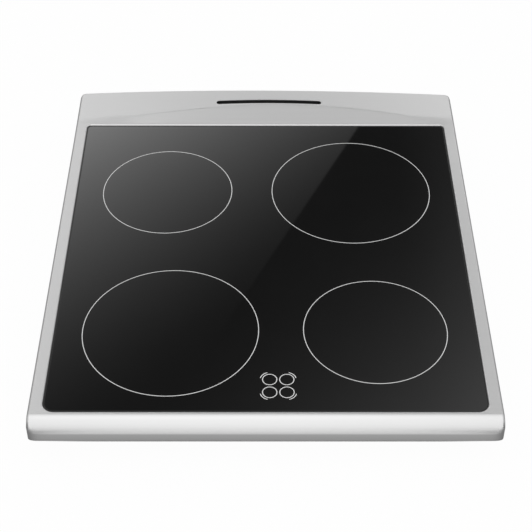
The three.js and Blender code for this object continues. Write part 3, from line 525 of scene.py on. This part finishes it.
def is_rim(edge):
    """An edge between the wall of the opening and the top around it."""
    if len(edge.link_faces) != 2 or middle(edge).z < rail_top - 1 * MM:
        return False
    if abs(middle(edge).x) > opening_right + 1 * MM or abs(middle(edge).y) > arch_back - 1 * MM:
        return False
    flat, wall = sorted(edge.link_faces, key=lambda face: -face.normal.z)
    return flat.normal.z > 0.8 and abs(wall.normal.z) < 0.2


edit(steel_top)
pick("edges", is_rim)
bpy.ops.mesh.bevel(offset=1.5 * MM, segments=5, affect="EDGES")
close_edit()

# Under the skirt the flange is what stays when the middle of the underside is taken out.
flange, recess = 10 * MM, 0.5 * MM
flange_end = Vector((frame_high.x - flange, frame_high.y - flange))
cut_away(
    steel_top,
    round_prism(
        "flange_cutter",
        (-flange_end.x, -flange_end.y, frame_low.z - 5 * MM),
        (flange_end.x, flange_end.y, frame_low.z + recess),
        front_radius=3 * MM, rear_radius=3 * MM, segments=4,
    ),
)


def in_recess(place):
    return abs(place.x) < flange_end.x + hair and abs(place.y) < flange_end.y + hair


def is_waste(face):
    """The floor of the pocket, and all of the recess in the underside."""
    place = middle(face)
    if face.normal.z > 0.99:
        return abs(place.z - support_top) < 10 * hair
    return in_recess(place) and place.z < frame_low.z + recess + hair


edit(steel_top)
pick("faces", is_waste)
bpy.ops.mesh.delete(type="FACE")
close_edit()
modify(steel_top, "SOLIDIFY", thickness=sheet, offset=-1)


def is_fold(edge):
    """An edge between the skirt and the underside of the flange."""
    if len(edge.link_faces) != 2 or abs(middle(edge).z - frame_low.z) > hair:
        return False
    down, wall = sorted(edge.link_faces, key=lambda face: face.normal.z)
    return down.normal.z < -0.9 and abs(wall.normal.z) < 0.2 and not in_recess(middle(edge))


edit(steel_top)
pick("edges", is_fold)
bpy.ops.mesh.bevel(offset=0.6 * MM, segments=3, affect="EDGES")
close_edit()

# The slot of the vent is punched last: a long slot with round ends, bowed towards the rear.
slot_x, slot_y = 4.6 * MM, opening_front + 543.15 * MM
slot_half = Vector((70 * MM, 3.85 * MM))
slot_bow = 2 * MM
punch = round_prism(
    "slot_punch",
    (slot_x - slot_half.x, slot_y - slot_half.y, glass_top + 2 * MM),
    (slot_x + slot_half.x, slot_y + slot_half.y, glass_top + 20 * MM),
    front_radius=slot_half.y - hair, rear_radius=slot_half.y - hair, segments=8,
)
edit(punch)
for i in range(1, 24):
    x = slot_x + slot_half.x * (i / 12 - 1)
    bpy.ops.mesh.select_all(action="SELECT")
    bpy.ops.mesh.bisect(plane_co=(x, 0, 0), plane_no=(1, 0, 0))
close_edit()
for vertex in punch.data.vertices:
    vertex.co.y -= slot_bow * ((vertex.co.x - slot_x) / slot_half.x) ** 2
cut_away(steel_top, punch)


def is_slot_edge(edge):
    """An edge round the slot, between its cut wall and the top."""
    place = middle(edge)
    near_slot = abs(place.x - slot_x) < slot_half.x + 1 * MM and abs(place.y - slot_y) < 8 * MM
    if len(edge.link_faces) != 2 or not near_slot:
        return False
    flat, wall = sorted(edge.link_faces, key=lambda face: -face.normal.z)
    return flat.normal.z > 0.8 and abs(wall.normal.z) < 0.2


edit(steel_top)
pick("edges", is_slot_edge)
bpy.ops.mesh.bevel(offset=0.35 * MM, segments=2, affect="EDGES")
close_edit()


def shade(piece):
    """Smooth shading that keeps flat faces flat and folds sharp."""
    deselect_all()
    bpy.context.view_layer.objects.active = piece
    piece.select_set(True)
    bpy.ops.object.shade_smooth_by_angle(angle=math.radians(40))
    modify(piece, "WEIGHTED_NORMAL", keep_sharp=True, weight=80)


shade(steel_top)


def add_principled(node, color, roughness, normal=None, **inputs):
    """The surface shader and the output; color and roughness may be sockets."""
    values = {"Base_Color": color, "Roughness": roughness, **inputs}
    if normal is not None:
        values["Normal"] = normal
    node("OutputMaterial", Surface=node("BsdfPrincipled", **values).outputs[0])


def stretched_noise(node, stretch, scale, detail=4.0):
    """Noise on the piece's own coordinates, drawn out along an axis where stretch is small."""
    place = node("TexCoord").outputs["Object"]
    mapped = node("Mapping", Vector=place, Scale=stretch).outputs[0]
    return node("TexNoise", Vector=mapped, Scale=scale, Detail=detail, Roughness=0.6).outputs["Fac"]


def ranged(node, value, low, high, from_low=0.0, from_high=1.0):
    """Goes evenly from low to high as a value goes from one limit to the other."""
    return node(
        "MapRange",
        Value=value, From_Min=from_low, From_Max=from_high, To_Min=low, To_Max=high,
    ).outputs[0]


def grey(node, value):
    """A grey colour from a number."""
    return node("CombineColor", Red=value, Green=value, Blue=value).outputs[0]


def bumped(node, height, strength, distance):
    """A surface that rises and falls with a value, by the distance at most."""
    return node("Bump", Strength=strength, Distance=distance, Height=height).outputs[0]


def brushed_steel(name, tone, roughness, grain=(6, 900, 900)):
    """Satin stainless steel: fine lines along X, and a slow drift in how it shines."""
    material, node = new_material(name)
    lines = stretched_noise(node, grain, 1.0, 3.0)
    drift = stretched_noise(node, (3, 5, 5), 1.0, 2.0)
    drifting_tone = ranged(node, drift, tone - 0.012, tone + 0.012)
    drifting_shine = ranged(node, drift, roughness - 0.03, roughness + 0.03)
    add_principled(
        node,
        grey(node, calculate(node, "ADD", drifting_tone, ranged(node, lines, -0.02, 0.02))),
        calculate(node, "ADD", drifting_shine, ranged(node, lines, -0.05, 0.05)),
        bumped(node, lines, 0.12, 0.02 * MM),
        Metallic=1.0,
    )
    return material


steel_top.data.materials.clear()
steel_top.data.materials.append(brushed_steel("satin_stainless_steel", 0.66, 0.34))
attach(steel_top, "cooktop")
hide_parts("top_frame")

# ------------------------------------------------------------------ glass
# A 4 mm sheet of black glass-ceramic, rolled and then fired until it is tough. Its edges are
# ground, and it is set in from above and bonded all round.

glass = round_prism(
    "black_glass", glass_low, glass_high,
    front_radius=12 * MM, rear_radius=5 * MM, segments=12,
)
modify(
    glass, "BEVEL",
    limit_method="ANGLE", angle_limit=math.radians(35),
    width=0.7 * MM, segments=3, use_clamp_overlap=True,
)
shade(glass)
glass_material, node = new_material("black_glass_ceramic")
haze = stretched_noise(node, (1, 1, 1), 14, 3.0)
specks = stretched_noise(node, (1, 1, 1), 900, 2.0)
add_principled(
    node,
    grey(node, ranged(node, haze, 0.0085, 0.0105)),
    ranged(node, haze, 0.012, 0.02),
    bumped(node, specks, 0.004, 0.01 * MM),
    IOR=1.54,
)
glass.data.materials.append(glass_material)
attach(glass, "cooktop")
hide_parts("glass_panel")

# ------------------------------------------------------------------ printed zones
# Pale enamel lines, fired on the glass: one ring for each zone, and near the front the mark for
# residual heat, four small rings with an arc outside each.

print_bottom, print_top = glass_top - 0.02 * MM, glass_top + 0.03 * MM
enamel, node = new_material("pale_printed_enamel")
grain = stretched_noise(node, (1, 1, 1), 1500, 3.0)
add_principled(
    node,
    grey(node, ranged(node, grain, 0.70, 0.86)),
    ranged(node, grain, 0.5, 0.65),
    bumped(node, grain, 0.05, 0.01 * MM),
)


def finish_print(piece):
    piece.data.materials.append(enamel)
    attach(piece, "cooktop")


def raise_print(piece):
    """Gives a flat print its thickness upwards, its faces pointing out."""
    edit(piece)
    bpy.ops.mesh.select_all(action="SELECT")
    thickness = Vector((0, 0, print_top - print_bottom))
    bpy.ops.mesh.extrude_region_move(TRANSFORM_OT_translate={"value": thickness})
    bpy.ops.mesh.select_all(action="SELECT")
    bpy.ops.mesh.normals_make_consistent(inside=False)
    close_edit()


def printed_ring(name, x, y, radius, line):
    """A flat ring: a disc, inset by the line, its middle taken out, the rest raised."""
    deselect_all()
    bpy.ops.mesh.primitive_circle_add(
        vertices=160, radius=radius + line / 2, fill_type="NGON", location=(x, y, print_bottom)
    )
    ring = bpy.context.object
    ring.name = name
    bpy.ops.object.transform_apply(location=True, rotation=True, scale=True)
    edit(ring)
    bpy.ops.mesh.select_all(action="SELECT")
    bpy.ops.mesh.inset(thickness=line)
    bpy.ops.mesh.delete(type="FACE")
    close_edit()
    raise_print(ring)
    return ring


zone_line = 0.85 * MM
front_zones, rear_zones = opening_front + 120.2 * MM, opening_front + 364.4 * MM
for zone, x, y, diameter in (
    ("front_left", -105.7, front_zones, 195.8),
    ("front_right", 122, front_zones, 159.8),
    ("rear_left", -121.8, rear_zones, 159.8),
    ("rear_right", 106, rear_zones, 195.8),
):
    finish_print(printed_ring("zone_ring_" + zone, x * MM, y, diameter / 2 * MM, zone_line))

mark_x, mark_y = 13.45 * MM, opening_front + 37 * MM
mark_pitch, mark_line = 18.35 * MM, 0.95 * MM
mark_ring, mark_arc = 7.65 * MM, 10.2 * MM
half_sweep = math.radians(32)
for row, column in ((-1, -1), (-1, 1), (1, -1), (1, 1)):
    x, y = mark_x + column * mark_pitch / 2, mark_y + row * mark_pitch / 2
    label = ("front" if row < 0 else "rear") + ("_left" if column < 0 else "_right")
    finish_print(printed_ring("heat_mark_ring_" + label, x, y, mark_ring, mark_line))
    # The arc: one short line, swept about the ring's middle round its outer diagonal.
    deselect_all()
    bpy.ops.mesh.primitive_plane_add(size=mark_line, location=(x, y, print_bottom))
    arc = bpy.context.object
    arc.name = "heat_mark_arc_" + label
    bpy.ops.object.transform_apply(location=True, rotation=True, scale=True)
    diagonal = math.atan2(row, column)
    start = Vector((math.cos(diagonal - half_sweep), math.sin(diagonal - half_sweep), 0))
    edit(arc)
    bpy.ops.mesh.select_all(action="SELECT")
    bpy.ops.mesh.merge(type="CENTER")
    bpy.ops.mesh.select_all(action="SELECT")
    bpy.ops.transform.translate(value=start * (mark_arc - mark_line / 2))
    bpy.ops.mesh.extrude_region_move(TRANSFORM_OT_translate={"value": start * mark_line})
    bpy.ops.mesh.select_all(action="SELECT")
    bpy.ops.mesh.spin(steps=14, angle=-2 * half_sweep, center=(x, y, print_bottom), axis=(0, 0, 1))
    close_edit()
    raise_print(arc)
    finish_print(arc)

# ------------------------------------------------------------------ seal
# Black silicone, laid as a bead on the support frame before the glass goes in. It carries the
# glass and fills the joint round it to just under its top. The bush of the cable is rubber too.

rubber, node = new_material("black_silicone")
grain = stretched_noise(node, (1, 1, 1), 700, 3.0)
add_principled(
    node,
    grey(node, ranged(node, grain, 0.012, 0.02)),
    ranged(node, grain, 0.14, 0.24),
    bumped(node, grain, 0.02, 0.05 * MM),
)


def dress(material, *names):
    """Gives CAD nodes a material."""
    for name in names:
        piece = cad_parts[name]
        piece.data.materials.clear()
        piece.data.materials.append(material)


dress(rubber, "glass_seal", "cable_grommet")

# ------------------------------------------------------------------ vent duct
# Black enamelled sheet steel, folded and welded to a duct that hangs under the raised rear and
# brings the oven's warm air up to the slot.

duct_enamel, node = new_material("black_duct_enamel")
peel = stretched_noise(node, (1, 1, 1), 260, 3.0)
add_principled(
    node,
    grey(node, ranged(node, peel, 0.05, 0.07)),
    ranged(node, peel, 0.35, 0.55),
    bumped(node, peel, 0.15, 0.05 * MM),
)
dress(duct_enamel, "vent_duct")

# ------------------------------------------------------------------ tray and its fixings
# The tray, its cross rails, the support frame under the glass and the rear brackets are galvanised
# sheet steel, folded and spot-welded. Zinc-plated screws hold the tray; the springs stand in it.

galvanised, node = new_material("galvanised_steel")
place = node("TexCoord").outputs["Object"]
spangle = node("TexVoronoi", Vector=place, Scale=110.0).outputs["Color"]
flake = node("SeparateColor", Color=spangle).outputs[0]
dull = stretched_noise(node, (1, 1, 1), 30, 4.0)
tone = calculate(node, "ADD", ranged(node, flake, 0.44, 0.56), ranged(node, dull, -0.05, 0.05))
add_principled(
    node,
    grey(node, tone),
    ranged(node, flake, 0.36, 0.52),
    bumped(node, dull, 0.05, 0.05 * MM),
    Metallic=0.9,
)
both_sides = ("left", "right")
dress(galvanised, "base_tray", "glass_support", "cross_rail_front", "cross_rail_rear")
dress(galvanised, *(f"rear_bracket_{side}" for side in both_sides))


def two_tone(node, share, first, second):
    """A colour between two others."""
    return node("MixRGB", Fac=share, Color1=(*first, 1), Color2=(*second, 1)).outputs[0]


zinc, node = new_material("zinc_plating")
tint = stretched_noise(node, (1, 1, 1), 180, 3.0)
add_principled(
    node,
    two_tone(node, tint, (0.60, 0.61, 0.64), (0.68, 0.68, 0.64)),
    ranged(node, tint, 0.22, 0.36),
    bumped(node, tint, 0.04, 0.02 * MM),
    Metallic=1.0,
)
dress(zinc, *(f"tray_screw_{i}" for i in range(1, 7)))
dress(zinc, *(f"leaf_spring_{end}_{side}" for end in ("front", "rear") for side in both_sides))
dress(zinc, *(f"fan_motor_{side}" for side in both_sides))

# ------------------------------------------------------------------ coils
# Copper litz, wound flat on dark moulded carriers with a disc of pale mica on top. The carriers
# are clipped to aluminium plates, and a small sensor in each middle touches the glass.

zones = ("front_left", "front_right", "rear_left", "rear_right")
copper, node = new_material("varnished_litz")
place = node("TexCoord").outputs["Object"]
strands = node("TexNoise", Vector=place, Scale=1800.0, Detail=3.0).outputs["Fac"]
add_principled(
    node,
    two_tone(node, strands, (0.42, 0.16, 0.06), (0.72, 0.36, 0.17)),
    ranged(node, strands, 0.3, 0.5),
    bumped(node, strands, 0.4, 0.1 * MM),
    Metallic=0.9,
)
dress(copper, *(f"coil_winding_{zone}" for zone in zones))


def moulded(name, low, high, roughness, grain_scale=900):
    """Moulded plastic: a fine even grain, and a slight drift in tone."""
    material, node = new_material(name)
    grain = stretched_noise(node, (1, 1, 1), grain_scale, 3.0)
    drift = stretched_noise(node, (1, 1, 1), 25, 2.0)
    add_principled(
        node,
        grey(node, ranged(node, drift, low, high, 0.3, 0.7)),
        ranged(node, grain, roughness - 0.06, roughness + 0.06),
        bumped(node, grain, 0.12, 0.05 * MM),
    )
    return material


carrier_moulding = moulded("dark_carrier_moulding", 0.022, 0.032, 0.6)
sensor_moulding = moulded("pale_sensor_moulding", 0.62, 0.70, 0.5)
dress(carrier_moulding, *(f"coil_carrier_{zone}" for zone in zones))
dress(sensor_moulding, *(f"glass_sensor_{zone}" for zone in zones))

mica, node = new_material("mica_sheet")
sheets = stretched_noise(node, (1, 1, 8), 90, 5.0)
add_principled(
    node,
    two_tone(node, sheets, (0.52, 0.46, 0.36), (0.74, 0.69, 0.58)),
    ranged(node, sheets, 0.45, 0.8),
    bumped(node, sheets, 0.15, 0.1 * MM),
)
dress(mica, *(f"insulation_disc_{zone}" for zone in zones))

dress(
    brushed_steel("mill_finish_aluminium", 0.78, 0.38, (300, 8, 300)),
    *(f"{thing}_{side}" for thing in ("coil_plate", "heat_sink") for side in both_sides),
)

# ------------------------------------------------------------------ electronics and blowers
# Green boards with solder mask and a faint pattern of tracks, on pale nylon posts, with dark parts
# soldered on top. The blowers, the terminal block and the lamp holder are black mouldings.

power_board_bottom, power_board_top = 6 * MM, 7.6 * MM


def circuit_board(name, bottom, top):
    """Solder mask between two heights, nylon below them and dark components above."""
    material, node = new_material(name)
    place = node("TexCoord").outputs["Object"]
    height = node("SeparateXYZ", _0=place).outputs[2]
    tracks = node("TexBrick", Vector=place, Scale=60.0, Mortar_Size=0.02).outputs["Fac"]
    speckle = stretched_noise(node, (1, 1, 1), 300, 2.0)
    mask = two_tone(node, tracks, (0.012, 0.10, 0.035), (0.03, 0.20, 0.07))
    parts = two_tone(node, speckle, (0.02, 0.022, 0.03), (0.05, 0.052, 0.06))
    is_part = calculate(node, "GREATER_THAN", height, top + 0.1 * MM)
    is_post = calculate(node, "LESS_THAN", height, bottom - 0.1 * MM)
    color = node("MixRGB", Fac=is_part, Color1=mask, Color2=parts).outputs[0]
    color = node("MixRGB", Fac=is_post, Color1=color, Color2=(0.7, 0.69, 0.64, 1)).outputs[0]
    shine = ranged(node, speckle, 0.3, 0.45)
    add_principled(node, color, shine, bumped(node, tracks, 0.1, 0.05 * MM))
    return material


dress(
    circuit_board("power_board_with_parts", power_board_bottom, power_board_top),
    "filter_board", *(f"power_board_{side}" for side in both_sides),
)
lamp_board_low, lamp_board_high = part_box("indicator_board")
dress(circuit_board("lamp_board", lamp_board_low.z, lamp_board_high.z), "indicator_board")
black_plastic = moulded("black_moulding", 0.012, 0.02, 0.5)
dress(black_plastic, "terminal_block", "indicator_holder")
for blower_part in ("fan_housing", "fan_rotor"):
    dress(black_plastic, *(f"{blower_part}_{side}" for side in both_sides))
dress(moulded("clear_light_guide", 0.70, 0.78, 0.2), "light_guide")
